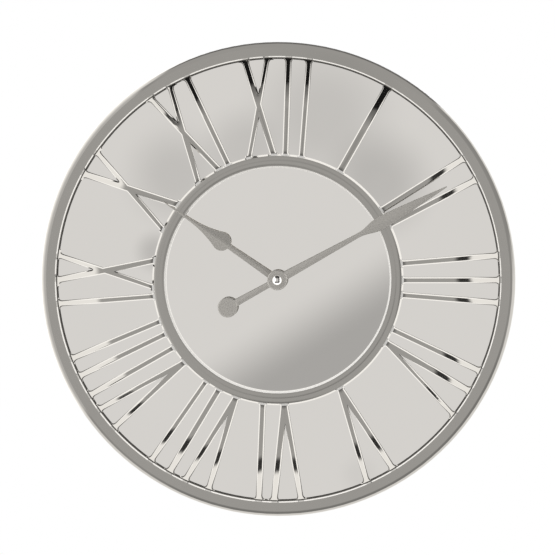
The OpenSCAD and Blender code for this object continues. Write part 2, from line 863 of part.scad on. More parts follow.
// An arm pressed to a ridge along its middle, from an outline along +y
module ridged(points, reach, widest) {
    intersection() {
        linear_extrude(height = hand_t)
            polygon(points);
        rotate([90, 0, 0])
            linear_extrude(height = 2 * reach, center = true)
                polygon([[-widest, 0], [widest, 0], [widest, hand_t - hand_fall * widest], [0, hand_t],
                    [-widest, hand_t - hand_fall * widest]]);
    }
}

module bevelled_disc(d) {
    rotate_extrude()
        polygon([[0, 0], [d / 2, 0], [d / 2, boss_t - boss_bevel], [d / 2 - boss_bevel, boss_t], [0, boss_t]]);
}

module hour_hand() {
    start = -acos(hour_neck_w / 2 / spade_r);
    end = 30;
    draw_in = 2.2;
    from = [spade_at + spade_r * sin(end), spade_r * cos(end)];
    rows = concat(
        [[0, hour_stem_w / 2]],
        [for (i = [0:10]) let (a = start + (end - start) * i / 10)
            [spade_at + spade_r * sin(a), spade_r * cos(a)]],
        [for (i = [1:10]) let (t = i / 10) [from[0] + (needle_at - from[0]) * t,
            needle_w / 2 + (from[1] - needle_w / 2) * pow(1 - t, draw_in)]],
        [[hour_len, tip_w / 2]]);
    color("silver") place() translate([0, 0, hour_z]) difference() {
        union() {
            rotate([0, 0, -hour_at])
                ridged(outline(rows), hour_len + cut, spade_r + cut);
            bevelled_disc(hour_boss_d);
        }
        disc(hour_tube_r + push_fit, -cut, boss_t + cut);
    }
}

module minute_hand() {
    swell = 1.2;
    rows = concat(
        [[0, minute_arm_w / 2]],
        [for (i = [0:8]) let (t = i / 8) [minute_neck_at + (leaf_at - minute_neck_at) * t,
            minute_neck_w / 2 + (leaf_w - minute_neck_w) / 2 * (1 - cos(180 * t)) / 2]],
        [for (i = [1:10]) let (t = i / 10) [leaf_at + (minute_len - leaf_at) * t,
            (tip_w + (leaf_w - tip_w) * (1 - pow(t, swell))) / 2]]);
    tail = [[0, tail_root_w / 2], [tail_at, tail_w / 2]];
    color("silver") place() translate([0, 0, minute_z]) difference() {
        rotate([0, 0, -minute_at]) union() {
            ridged(outline(rows), minute_len + cut, leaf_w / 2 + cut);
            rotate([0, 0, 180])
                ridged(outline(tail), tail_at + cut, leaf_w / 2 + cut);
            bevelled_disc(boss_d);
            translate([0, -tail_at, 0])
                bevelled_disc(tail_disc_d);
        }
        intersection() {
            disc(arbor_r + push_fit, -cut, boss_t + cut);
            translate([-arbor_flat_w / 2 - push_fit, -arbor_d, -cut])
                cube([arbor_flat_w + 2 * push_fit, 2 * arbor_d, boss_t + 2 * cut]);
        }
    }
}

module cap_nut() {
    edge_mid = cap_d / 2 - cap_edge;
    reach = asin(edge_mid / (cap_dome_r - cap_edge));
    dome_mid = [0, cap_h - cap_dome_r];
    color("silver") place() difference() {
        translate([0, 0, cap_z])
            rotate_extrude()
                polygon(concat(
                    [[0, 0], [cap_d / 2, 0]],
                    arc(dome_mid + polar(cap_dome_r - cap_edge, 90 - reach), cap_edge, 0, 90 - reach, 6),
                    [for (i = [1:10]) dome_mid + polar(cap_dome_r, 90 - reach + reach * i / 10)]));
        disc(arbor_flat_w / 2 + push_fit, cap_z - cut, cap_z + cap_h / 2 + push_fit);
    }
}

outer_rim();
inner_ring();
numeral(1);  // numeral_1
numeral(2);  // numeral_2
numeral(3);  // numeral_3
numeral(4);  // numeral_4
numeral(5);  // numeral_5
numeral(6);  // numeral_6
numeral(7);  // numeral_7
numeral(8);  // numeral_8
numeral(9);  // numeral_9
numeral(10);  // numeral_10
numeral(11);  // numeral_11
numeral(12);  // numeral_12
mirror_glass();
backboard();
back_screws();
hanger_bracket();
hanger_screws();
dial_gasket();
movement_plate();
movement_case();
bushing_washer();
bushing_nut();
centre_wheel();
hour_wheel();
motion_wheel();
setting_knob();
third_wheel();
seconds_wheel();
fifth_wheel();
rotor();
stator();
coil();
circuit_board();
quartz_crystal();
battery();
positive_contact();
negative_contact();
hour_hand();
minute_hand();
cap_nut();
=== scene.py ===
"""Finishes a round mirror wall clock: polished rings and numerals, silvered dial, satin hands, quartz works.

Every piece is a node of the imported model. Each operator gives a group of pieces their finish and breaks the
edges that show, and the last one sets up the studio that the polished metal and the mirror reflect.
"""

import math

import bpy
from bpy.props import FloatProperty, FloatVectorProperty, PointerProperty
from mathutils import Matrix, Vector


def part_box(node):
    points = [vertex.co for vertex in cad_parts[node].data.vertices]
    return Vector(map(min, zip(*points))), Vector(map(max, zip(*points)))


bl_info = {
    "name": "Mirror wall clock",
    "version": (1, 0, 0),
    "blender": (4, 5, 0),
    "location": "3D View > Sidebar > Clock",
    "description": "Finishes the pieces of a mirror wall clock and sets up its studio",
    "category": "Object",
}

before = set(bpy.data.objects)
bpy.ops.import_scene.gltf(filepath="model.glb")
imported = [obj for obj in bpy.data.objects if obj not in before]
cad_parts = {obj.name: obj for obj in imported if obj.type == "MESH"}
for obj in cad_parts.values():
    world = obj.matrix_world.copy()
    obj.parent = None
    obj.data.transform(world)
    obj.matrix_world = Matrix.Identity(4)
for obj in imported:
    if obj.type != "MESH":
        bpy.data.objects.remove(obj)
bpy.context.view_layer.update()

MM = 0.001
DEGREES = 180 / math.pi
rim_low, rim_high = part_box("outer_rim")
CLOCK_CENTRE = Vector(((rim_low.x + rim_high.x) / 2, rim_low.y, (rim_low.z + rim_high.z) / 2))
NUMERALS = [f"numeral_{hour}" for hour in range(1, 13)]

# Angles in degrees over which an edge stays sharp, on most pieces and on the rings, and is broken
CREASE = 32.0
RING_CREASE = 13.0
BREAK_ANGLE = 40.0

# Least and most that faces turn to the front, which is 1 for the front and -1 for the back
SLOPING = (0.15, 0.75)
BACKWARD = (-2.0, -0.5)
ANY_WAY = (-2.0, 2.0)

# A radius that holds the whole clock, for a finish that isn't kept to its middle
WHOLE_CLOCK = 1.0

# Roughness of the painted shade at a root and of the painted highlight on the edge over it
ROOT_ROUGHNESS = 0.4
EDGE_ROUGHNESS = 0.12


class Value:
    """A shader socket that can be used in Python arithmetic: each operation adds a Math node."""

    def __init__(self, sheet, socket):
        self.sheet = sheet
        self.socket = socket

    def other(self, name):
        """Another output of the same node."""
        return Value(self.sheet, self.socket.node.outputs[name])

    def math(self, operation, *values):
        return self.sheet.add("ShaderNodeMath", {"operation": operation}, dict(enumerate(values)))

    def __add__(self, value):
        return self.math("ADD", self, value)

    def __sub__(self, value):
        return self.math("SUBTRACT", self, value)

    def __rsub__(self, value):
        return self.math("SUBTRACT", value, self)

    def __mul__(self, value):
        return self.math("MULTIPLY", self, value)

    def __truediv__(self, value):
        return self.math("DIVIDE", self, value)

    def __pow__(self, value):
        return self.math("POWER", self, value)

    def __abs__(self):
        return self.math("ABSOLUTE", self)

    def __lt__(self, value):
        return self.math("LESS_THAN", self, value)

    def __gt__(self, value):
        return self.math("GREATER_THAN", self, value)

    def __neg__(self):
        return self.math("MULTIPLY", self, -1.0)

    __radd__ = __add__
    __rmul__ = __mul__


def opaque(colour):
    return (*colour, 1.0)


class Sheet:
    """The node tree of one finish, one geometry change or the world."""

    def __init__(self, tree):
        self.tree = tree
        tree.nodes.clear()

    def add(self, kind, settings=None, inputs=None, output=0):
        """A node of that type: its settings are set first, then the values or links of its sockets.

        A socket that is given None keeps its default.
        """
        node = self.tree.nodes.new(kind)
        for name, value in (settings or {}).items():
            setattr(node, name, value)
        for name, value in (inputs or {}).items():
            if isinstance(value, Value):
                self.tree.links.new(value.socket, node.inputs[name])
            elif value is not None:
                node.inputs[name].default_value = value
        return Value(self, node.outputs[output]) if len(node.outputs) else None

    def place(self):
        """Where a point of the surface is, in metres."""
        return self.add("ShaderNodeTexCoord", output="Object")

    def axes(self, vector):
        x = self.add("ShaderNodeSeparateXYZ", inputs={0: vector})
        return x, x.other("Y"), x.other("Z")

    def joined(self, x, y, z):
        """A vector from its three parts."""
        return self.add("ShaderNodeCombineXYZ", inputs={"X": x, "Y": y, "Z": z})

    def noise(self, scale, detail=2.0, vector=None, roughness=0.5):
        inputs = {"Vector": vector or self.place(), "Scale": scale, "Detail": detail, "Roughness": roughness}
        return self.add("ShaderNodeTexNoise", inputs=inputs)

    def stretched(self, scale):
        """Surface places drawn out along an axis, for grain that runs one way."""
        return self.add("ShaderNodeMapping", inputs={"Vector": self.place(), "Scale": scale})

    def step(self, value, low, high):
        """A soft step from 0 at low to 1 at high."""
        settings = {"interpolation_type": "SMOOTHSTEP"}
        return self.add("ShaderNodeMapRange", settings, {"Value": value, "From Min": low, "From Max": high})

    def mix(self, factor, first, second):
        """A colour between two."""
        return self.add("ShaderNodeMix", {"data_type": "RGBA"}, {0: factor, 6: first, 7: second}, output=2)

    def shade(self, factor, colour, dark):
        """A colour that falls to a share of itself where the factor is 0."""
        return self.mix(factor, opaque(part * dark for part in colour), opaque(colour))

    def bump(self, height, depth, strength, normal=None):
        inputs = {"Strength": strength, "Distance": depth, "Height": height, "Normal": normal}
        return self.add("ShaderNodeBump", inputs=inputs)

    def flattened(self, flatness):
        """The surface's normal, turned to the front as on a flatter form, or None for no change."""
        if flatness == 0.0:
            return None
        across, front, up = self.axes(self.add("ShaderNodeNewGeometry", output="Normal"))
        flatter = self.joined(across, front - flatness, up)
        return self.add("ShaderNodeVectorMath", {"operation": "NORMALIZE"}, {0: flatter})

    def surface(self, **sockets):
        """The finish itself, one Principled shader."""
        names = {key.replace("_", " ").title(): value for key, value in sockets.items()}
        shader = self.add("ShaderNodeBsdfPrincipled", inputs=names)
        self.add("ShaderNodeOutputMaterial", inputs={"Surface": shader})

    def on_domain(self, domain, value):
        """A number of a mesh, worked out on its faces or its points."""
        settings = {"domain": domain, "data_type": "FLOAT"}
        return self.add("GeometryNodeFieldOnDomain", settings, {"Value": value})

    def at_point(self, value):
        """The mean of a face's number over the faces at a point."""
        return self.on_domain("POINT", self.on_domain("FACE", value))


def from_axis(sheet, place):
    """How far a place is right of and above the clock's axis, and from it."""
    parts = sheet.axes(place)
    x = parts[0] - CLOCK_CENTRE.x
    z = parts[2] - CLOCK_CENTRE.z
    return x, z, (x * x + z * z) ** 0.5


def off_axis(sheet):
    """How far a point of the surface is from the clock's axis."""
    return from_axis(sheet, sheet.place())[2]


def off_dial(sheet):
    """How far a point of the surface stands in front of the mirror."""
    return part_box("mirror_glass")[0].y - sheet.axes(sheet.place())[1]


def new_finish(name):
    material = bpy.data.materials.new(name)
    material.use_nodes = True
    return material, Sheet(material.node_tree)


def polished_metal(name, colour, roughness, metallic=1.0, flatness=0.0):
    """Plated metal with the faint cloudiness that polishing leaves."""
    material, sheet = new_finish(name)
    cloud = sheet.noise(scale=30.0, detail=3.0)
    haze = sheet.noise(scale=220.0)
    sheet.surface(
        base_color=sheet.shade(cloud, colour, dark=0.94),
        metallic=metallic,
        roughness=roughness + 0.02 * cloud + 0.015 * haze,
        normal=sheet.flattened(flatness),
    )
    return material


def metal_with_painted_ring_highlight_and_shade(name, colour, bright, roughness, ring_r):
    """Polished metal with a painted highlight in a thin band at a ring, and painted shade beside it that
    makes it darker.
    """
    material, sheet = new_finish(name)
    cloud = sheet.noise(scale=30.0, detail=3.0)
    radius = off_axis(sheet)
    # Painted highlight right at the ring, then painted shade that fades out over the next few millimetres
    painted_ring_highlight = 1 - sheet.step(radius, low=ring_r + 0.2 * MM, high=ring_r + 0.9 * MM)
    clear_of_painted_shade = sheet.step(radius, low=ring_r + 0.6 * MM, high=ring_r + 5 * MM)
    face = sheet.shade(clear_of_painted_shade * (0.94 + 0.06 * cloud), colour, dark=0.4)
    sheet.surface(
        base_color=sheet.mix(painted_ring_highlight, face, opaque(bright)),
        metallic=1 - 0.6 * painted_ring_highlight,
        roughness=roughness + 0.02 * cloud,
    )
    return material


def metal_with_painted_edge_and_shade(name, colour, root, metallic, start, soft, measure):
    """A painted highlight on an edge and painted shade at the root under it, parted where a measure of the
    place passes a length.
    """
    material, sheet = new_finish(name)
    # 1 on the painted highlight of the edge, 0 on the painted shade of the root
    edge = sheet.step(measure(sheet), low=start - soft, high=start + soft)
    sheet.surface(
        base_color=sheet.mix(edge, opaque(root), opaque(colour)),
        metallic=1 - (1 - metallic) * edge if metallic < 1.0 else 1.0,
        roughness=ROOT_ROUGHNESS - (ROOT_ROUGHNESS - EDGE_ROUGHNESS) * edge,
    )
    return material


def satin_metal(name, colour, roughness, metallic=1.0, flatness=0.0):
    """Plated metal with a fine dull grain."""
    material, sheet = new_finish(name)
    cloud = sheet.noise(scale=45.0, detail=3.0)
    grain = sheet.noise(scale=900.0)
    sheet.surface(
        base_color=sheet.shade(cloud, colour, dark=0.95),
        metallic=metallic,
        roughness=roughness + 0.04 * grain,
        normal=sheet.bump(grain, depth=0.004 * MM, strength=0.02, normal=sheet.flattened(flatness)),
    )
    return material


def silvered_glass(name, colour):
    """The mirror: nearly perfect, with a breath of dust."""
    material, sheet = new_finish(name)
    dust = sheet.noise(scale=600.0, detail=3.0)
    cloud = sheet.noise(scale=12.0)
    sheet.surface(
        base_color=sheet.shade(cloud, colour, dark=0.985),
        metallic=1.0,
        roughness=0.006 + 0.01 * dust,
    )
    return material


def fibreboard(name, colour):
    """Pressed fibreboard: a mat of short pale and dark fibres."""
    material, sheet = new_finish(name)
    fibre = {"scale": 700.0, "detail": 3.0, "roughness": 0.7}
    across = sheet.noise(vector=sheet.stretched((1.0, 1.0, 0.25)), **fibre)
    along = sheet.noise(vector=sheet.stretched((0.25, 1.0, 1.0)), **fibre)
    patch = sheet.noise(scale=18.0, detail=3.0)
    mat = sheet.step(across + along, low=0.75, high=1.25)
    sheet.surface(
        base_color=sheet.shade(0.7 * mat + 0.3 * patch, colour, dark=0.55),
        roughness=0.72 + 0.15 * mat,
        normal=sheet.bump(mat, depth=0.2 * MM, strength=0.35),
    )
    return material


def zinc_plate(name, colour):
    """Zinc plated steel with its dull spangle and handling marks."""
    material, sheet = new_finish(name)
    spangle = sheet.add("ShaderNodeTexVoronoi", inputs={"Vector": sheet.place(), "Scale": 420.0})
    cloud = sheet.noise(scale=60.0, detail=3.0)
    rub = sheet.noise(scale=900.0, vector=sheet.stretched((1.0, 1.0, 0.06)))
    sheet.surface(
        base_color=sheet.shade(0.6 * cloud + 0.5 * spangle, colour, dark=0.72),
        metallic=1.0,
        roughness=0.26 + 0.16 * cloud + 0.1 * rub,
        normal=sheet.bump(rub, depth=0.04 * MM, strength=0.12),
    )
    return material


def moulded_plastic(name, colour, roughness, grain):
    """Moulded plastic with a fine spark-eroded grain."""
    material, sheet = new_finish(name)
    skin = sheet.noise(scale=grain)
    flow = sheet.noise(scale=35.0)
    sheet.surface(
        base_color=sheet.shade(flow, colour, dark=0.8),
        roughness=roughness + 0.12 * skin,
        normal=sheet.bump(skin, depth=0.12 * MM, strength=0.25),
    )
    return material


def turned_brass(name, colour):
    """Brass with the fine rings of the lathe, seen as a soft grain, and a little tarnish."""
    material, sheet = new_finish(name)
    tarnish = sheet.noise(scale=160.0, detail=3.0)
    rings = sheet.noise(scale=3200.0, vector=sheet.stretched((1.0, 0.1, 1.0)))
    sheet.surface(
        base_color=sheet.shade(tarnish, colour, dark=0.7),
        metallic=1.0,
        roughness=0.2 + 0.15 * tarnish + 0.08 * rings,
        normal=sheet.bump(rings, depth=0.02 * MM, strength=0.1),
    )
    return material


def wound_copper(name, colour):
    """Enamelled copper wire wound in close turns along X."""
    material, sheet = new_finish(name)
    turns = sheet.add(
        "ShaderNodeTexWave",
        {"wave_type": "BANDS", "bands_direction": "X"},
        {"Vector": sheet.place(), "Scale": 1100.0, "Distortion": 0.4, "Detail": 1.0},
    )
    sheet.surface(
        base_color=sheet.shade(turns, colour, dark=0.45),
        metallic=0.8,
        roughness=0.3 + 0.15 * turns,
        normal=sheet.bump(turns, depth=0.1 * MM, strength=0.6),
    )
    return material


def laminate(name, colour, track):
    """Circuit laminate with tinned tracks under green lacquer."""
    material, sheet = new_finish(name)
    tracks = sheet.add(
        "ShaderNodeTexBrick",
        inputs={"Vector": sheet.place(), "Scale": 260.0, "Mortar Size": 0.06},
        output="Fac",
    )
    lacquer = sheet.noise(scale=400.0)
    sheet.surface(
        base_color=sheet.mix(tracks, opaque(colour), opaque(track)),
        roughness=0.28 + 0.15 * lacquer,
        normal=sheet.bump(tracks, depth=0.05 * MM, strength=0.3),
    )
    return material


def wrapped_cell(name, colour, band, bare, low, high):
    """A plain wrapped battery cell: bare metal at both ends, a pale band at the plus end."""
    material, sheet = new_finish(name)
    along = sheet.axes(sheet.place())[0]
    soft = 0.004

    def past(share):
        """1 beyond a share of the cell's length."""
        ends = [low + (high - low) * part for part in (share, share + soft)]
        return sheet.step(along, *ends)

    wrap = past(0.02) * (1 - past(0.95))
    skin = sheet.mix(past(0.70), opaque(colour), opaque(band))
    scuff = sheet.noise(scale=500.0, detail=3.0)
    sheet.surface(
        base_color=sheet.mix(wrap, opaque(bare), skin),
        metallic=1 - wrap,
        roughness=0.24 + 0.14 * scuff,
        normal=sheet.bump(scuff, depth=0.03 * MM, strength=0.1),
    )
    return material


def new_modifier_sheet(name, *settings):
    """An empty geometry tree with a mesh going in and out and numbers as its settings."""
    group = bpy.data.node_groups.new(name, "GeometryNodeTree")
    group.interface.new_socket("Geometry", in_out="INPUT", socket_type="NodeSocketGeometry")
    for setting in settings:
        group.interface.new_socket(setting, in_out="INPUT", socket_type="NodeSocketFloat")
    group.interface.new_socket("Geometry", in_out="OUTPUT", socket_type="NodeSocketGeometry")
    return group, Sheet(group)


def joined_surface():
    """Joins the faces of a piece into one skin that is smooth except at edges over a crease angle."""
    group, sheet = new_modifier_sheet("joined_surface", "Crease")
    skin = sheet.add("NodeGroupInput")
    welded = sheet.add("GeometryNodeMergeByDistance", inputs={"Geometry": skin, "Distance": 0.002 * MM})
    angle = sheet.add("GeometryNodeInputMeshEdgeAngle")
    smooth = sheet.add(
        "GeometryNodeSetMeshNormal",
        {"mode": "SHARPNESS"},
        {
            "Mesh": welded,
            "Remove Custom": True,
            "Edge Sharpness": angle > skin.other("Crease"),
            "Face Sharpness": False,
        },
    )
    sheet.add("NodeGroupOutput", inputs={"Geometry": smooth})
    return group


def leaning_sides():
    """Leans the sides of a casting in towards its front, so that its front face is narrower than its back.

    The edges of the front face slide along that face. The ends that follow the rings stay upright.
    """
    group, sheet = new_modifier_sheet("leaning_sides", "Lean")
    # The front face turns to the front by more than steep, and a ring's end along its radius by round_end
    steep, round_end = 0.5, 0.85
    least_share, some = 0.3, 0.01
    skin = sheet.add("NodeGroupInput")
    across, front, up = sheet.axes(sheet.add("GeometryNodeInputNormal"))
    x, z, radius = from_axis(sheet, sheet.add("GeometryNodeInputPosition"))
    outward = abs(across * x + up * z) / radius
    side = (abs(front) < steep) * (outward < round_end)
    face = front < -steep

    sides = sheet.at_point(side)
    lean_x = sheet.at_point(across * side) / sides
    lean_z = sheet.at_point(up * side) / sides
    share = lean_x * lean_x + lean_z * lean_z
    reach = -skin.other("Lean") / share.math("MAXIMUM", share, least_share)
    shift_x = lean_x * reach
    shift_z = lean_z * reach
    drop = shift_x * sheet.at_point(across * face) + shift_z * sheet.at_point(up * face)
    shift_y = -drop / sheet.at_point(front * face)
    moved = sheet.add(
        "GeometryNodeSetPosition",
        inputs={
            "Geometry": skin,
            "Selection": sheet.at_point(face) > some,
            "Offset": sheet.joined(shift_x, shift_y, shift_z),
        },
    )
    sheet.add("NodeGroupOutput", inputs={"Geometry": moved})
    return group


def crowned_faces():
    """Shades the front faces of a casting as if they were crowned a little from side to side."""
    group, sheet = new_modifier_sheet("crowned_faces", "Crown")
    # The front part of the normal, -1 straight ahead: beyond flat on a face, from shallow to steep on a side
    flat, shallow, steep = -0.9, -0.8, -0.1
    least_reach = 0.001
    skin = sheet.add("NodeGroupInput")
    normal = sheet.add("GeometryNodeInputNormal")
    across, front, up = sheet.axes(normal)
    face = front < flat
    side = (front < steep) * (front > shallow)

    side_x = sheet.at_point(across * side)
    side_z = sheet.at_point(up * side)
    reach = (side_x * side_x + side_z * side_z) ** 0.5
    tilt = skin.other("Crown") * sheet.at_point(face) / reach.math("MAXIMUM", reach, least_reach)
    crowned = sheet.joined(
        sheet.at_point(across * face) + tilt * side_x,
        sheet.at_point(front * face),
        sheet.at_point(up * face) + tilt * side_z,
    )
    chosen = sheet.add(
        "GeometryNodeSwitch",
        {"input_type": "VECTOR"},
        {"Switch": sheet.on_domain("FACE", face), "False": normal, "True": crowned},
    )
    shaded = sheet.add(
        "GeometryNodeSetMeshNormal",
        {"mode": "FREE", "domain": "CORNER"},
        {"Mesh": skin, "Custom Normal": chosen},
    )
    sheet.add("NodeGroupOutput", inputs={"Geometry": shaded})
    return group


def second_finish():
    """Gives another finish to the faces inside a radius that turn to the front between two limits."""
    group, sheet = new_modifier_sheet("second_finish", "Radius", "Least", "Most", "Finish")
    skin = sheet.add("NodeGroupInput")
    facing = -sheet.axes(sheet.add("GeometryNodeInputNormal"))[1]
    radius = from_axis(sheet, sheet.add("GeometryNodeInputPosition"))[2]
    chosen = (radius < skin.other("Radius")) * (facing > skin.other("Least")) * (facing < skin.other("Most"))
    painted = sheet.add(
        "GeometryNodeSetMaterialIndex",
        inputs={"Geometry": skin, "Selection": chosen, "Material Index": skin.other("Finish")},
    )
    sheet.add("NodeGroupOutput", inputs={"Geometry": painted})
    return group


def add_tree(piece, build, *values):
    """Puts a geometry tree on a piece with its settings."""
    group = bpy.data.node_groups.get(build.__name__) or build()
    modifier = piece.modifiers.new(build.__name__, "NODES")
    modifier.node_group = group
    settings = [item for item in group.interface.items_tree if item.socket_type == "NodeSocketFloat"]
    for setting, value in zip(settings, values, strict=True):
        modifier[setting.identifier] = value


def dress(node, material, edge=0.0, crease=CREASE, lean=0.0, crown=0.0, extra=(), flat=True):
    """Gives a piece its finish, joins its faces, leans its sides and breaks its sharp edges.

    Each extra finish is a material, the radius that it stays inside, and the least and most that its faces
    face the front. Front faces are shaded as crowned, or flat faces as flat.
    """
    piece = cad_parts[node]
    piece.data.materials.clear()
    piece.data.materials.append(material)
    add_tree(piece, joined_surface, math.radians(crease))
    if lean > 0.0:
        add_tree(piece, leaning_sides, lean)
    for index, (finish, *limits) in enumerate(extra, 1):
        piece.data.materials.append(finish)
        add_tree(piece, second_finish, *limits, float(index))
    if edge > 0.0:
        bevel = piece.modifiers.new("edge", "BEVEL")
        bevel.width = edge
        bevel.segments = 2
        bevel.limit_method = "ANGLE"
        bevel.angle_limit = math.radians(BREAK_ANGLE)
        bevel.use_clamp_overlap = False
    if crown > 0.0:
        add_tree(piece, crowned_faces, crown)
    elif flat:
        weighted = piece.modifiers.new("flat_faces", "WEIGHTED_NORMAL")
        weighted.keep_sharp = True


def colour_property(label, description, default):
    return FloatVectorProperty(
        name=label, description=description, subtype="COLOR", min=0.0, max=1.0, default=default
    )


def length_property(label, description, default):
    return FloatProperty(name=label, description=description, unit="LENGTH", min=0.0, default=default)


def level_property(label, description, default):
    return FloatProperty(name=label, description=description, subtype="FACTOR", min=0.0, default=default)


def angle_property(label, description, degrees):
    return FloatProperty(
        name=label, description=description, subtype="ANGLE", default=math.radians(degrees)
    )


class MetalworkSettings(bpy.types.PropertyGroup):
    """Rim, inner ring and numerals."""

    nickel: colour_property("Nickel", "Reflection of the plated rings and numerals", (0.45, 0.439, 0.417))
    gloss: level_property("Roughness", "Roughness of the polished metal", 0.03)
    # Bright edge: a painted highlight, the nickel made lighter on the sloping edges and the numerals' sides
    bright: colour_property("Bright edge", "Reflection of the bright sloping edges", (0.80, 0.795, 0.78))
    edge_gloss: level_property("Edge roughness", "Roughness of the rings' sloping edges", 0.1)
    # Bright lip: a painted highlight on the rim's lip, and on the inner half of the ring's slopes
    lip: colour_property("Bright lip", "Reflection of the rim's bright lip", (0.95, 0.945, 0.93))
    # Seam: painted shade on the ledge under the lip, at the root of the numerals' sides and on the numerals'
    # backs
    seam: colour_property("Seam", "Dark ledge under the lip, and numerals' backs", (0.085, 0.082, 0.077))
    # The lip radii bound the lip's painted highlight, with painted shade inside the lip's edge
    lip_r: length_property("Lip radius", "Outer radius of the rim's bright lip", 236.0 * MM)
    lip_edge_r: length_property("Lip edge radius", "Inner radius of the lip's bright edge", 234.0 * MM)
    ring_mid_r: length_property("Ring radius", "Radius of the middle of the inner ring", 124.0 * MM)
    # The dark ledge under the lip is painted shade
    ledge_r: length_property("Ledge radius", "Outer radius of the dark ledge under the lip", 233.1 * MM)
    # Where the painted highlight on the numerals' sides gives way to painted shade at their root
    side_root: length_property("Side root", "Height of the dark root of the numerals' sides", 2.4 * MM)
    numeral_lean: length_property("Numeral lean", "How far the sides of the numerals lean in", 1.15 * MM)
    numeral_crown: level_property("Numeral crown", "Slope at the edges of the numerals' faces", 0.026)


class DialSettings(bpy.types.PropertyGroup):
    """Mirror, hands and cap nut."""

    silver: colour_property("Silver", "Reflection of the mirror", (0.93, 0.915, 0.89))
    # Both hands are the same satin nickel: the minute hand's lighter colour is painted light
    hand: colour_property("Hour hand", "Reflection of the satin hour hand", (0.43, 0.417, 0.392))
    minute_hand: colour_property("Minute hand", "Reflection of the satin minute hand", (0.47, 0.456, 0.43))
    hand_gloss: level_property("Hand roughness", "Roughness of the satin hands", 0.17)
    hand_metal: level_property("Hand metal", "How much the satin hands reflect as bare metal does", 0.6)
    hand_edge: length_property("Hand edge", "Width of the rounded edges of the hands", 0.3 * MM)
    cap: colour_property("Cap nut", "Reflection of the bright cap nut", (0.80, 0.79, 0.77))


class BackSettings(bpy.types.PropertyGroup):
    """Backboard, hanger and screws."""

    board: colour_property("Board", "Colour of the fibreboard", (0.45, 0.33, 0.22))
    steel: colour_property("Steel", "Reflection of the zinc plated steel", (0.62, 0.62, 0.63))
    steel_edge: length_property("Steel edge", "Width of the broken edges of the hanger", 0.25 * MM)


class WorksSettings(bpy.types.PropertyGroup):
    """Quartz movement."""

    plastic: colour_property("Case plastic", "Colour of the movement's case", (0.035, 0.035, 0.037))
    nylon: colour_property("Gear plastic", "Colour of the plastic wheel", (0.85, 0.83, 0.76))
    brass: colour_property("Brass", "Reflection of the wheels, washer and nut", (0.75, 0.60, 0.30))
    rubber: colour_property("Gasket", "Colour of the gasket", (0.05, 0.05, 0.05))
    magnet: colour_property("Magnet", "Colour of the rotor's magnet", (0.25, 0.25, 0.26))
    copper: colour_property("Winding", "Reflection of the coil's wire", (0.72, 0.40, 0.22))
    lacquer: colour_property("Board lacquer", "Colour of the circuit board", (0.08, 0.28, 0.14))
    track: colour_property("Tracks", "Colour of the circuit board's tracks", (0.30, 0.46, 0.24))
    can: colour_property("Contacts", "Reflection of the contacts and the crystal", (0.70, 0.70, 0.70))
    wrap: colour_property("Cell wrap", "Colour of the battery's wrap", (0.12, 0.12, 0.13))
    band: colour_property("Cell band", "Colour of the band at the battery's plus end", (0.46, 0.45, 0.43))
    case_edge: length_property("Case edge", "Width of the rounded edges of the case", 0.4 * MM)


class StudioSettings(bpy.types.PropertyGroup):
    """Camera, light and floor."""

    distance: length_property("Camera distance", "From the rim's face to the camera", 4.2)
    rise: angle_property("Camera rise", "Angle of the camera above the clock's axis", 2.4)
    turn: angle_property("Camera turn", "Angle of the camera to the right of the clock's axis", 2.6)
    view_w: length_property("View width", "Width of the picture at the rim's face", 0.5838)
    aim_left: length_property("Aim left", "How far the aim lies left of the clock's centre", 0.0001)
    aim_up: length_property("Aim up", "How far the aim lies above the clock's centre", 0.0025)
    grey: level_property("Grey", "Light of the grey room that faces the clock", 0.712)
    white: level_property("White", "Light of the near white screens round it", 1.8)
    far_white: level_property("Far white", "Light of the white walls at the sides", 1.4)
    black: level_property("Black", "Light of the black flag at the top", 0.02)
    dark: level_property("Dark", "Light of the dark flag round the lower half", 0.07)
    dim: level_property("Dim", "Light of the dim top, before its black flag and far behind it", 0.3)
    low_flag: level_property("Low flag", "Light of the grey flag far below", 0.4)
    right_flag: level_property("Right flag", "Light of the grey flag far to the right", 0.54)
    ceiling: level_property("Ceiling", "Light of the ceiling and the grey floor", 0.57)
    fill: level_property("Fill", "Light that reaches the polished metal by way of the mirror", 1.25)
    plain: level_property("Plain light", "Even light on every surface that isn't polished", 0.7)
    tint: colour_property("Tint", "Colour of all this light", (1.0, 0.985, 0.965))
    lamp_size: length_property("Lamp size", "Width of the soft lamps", 1.4)
    lamp_power: FloatProperty(
        name="Lamp power", description="Power of each soft lamp", unit="POWER", min=0.0, default=14.0
    )
    floor_drop: length_property("Floor drop", "From the clock's centre down to the floor", 1.6)
    floor_size: length_property("Floor size", "Width and depth of the floor", 8.0)
    floor: colour_property("Floor", "Colour of the floor", (0.82, 0.81, 0.79))


class ClockOperator(bpy.types.Operator):
    """Common part of the clock's operators."""

    bl_options = {"REGISTER", "UNDO"}


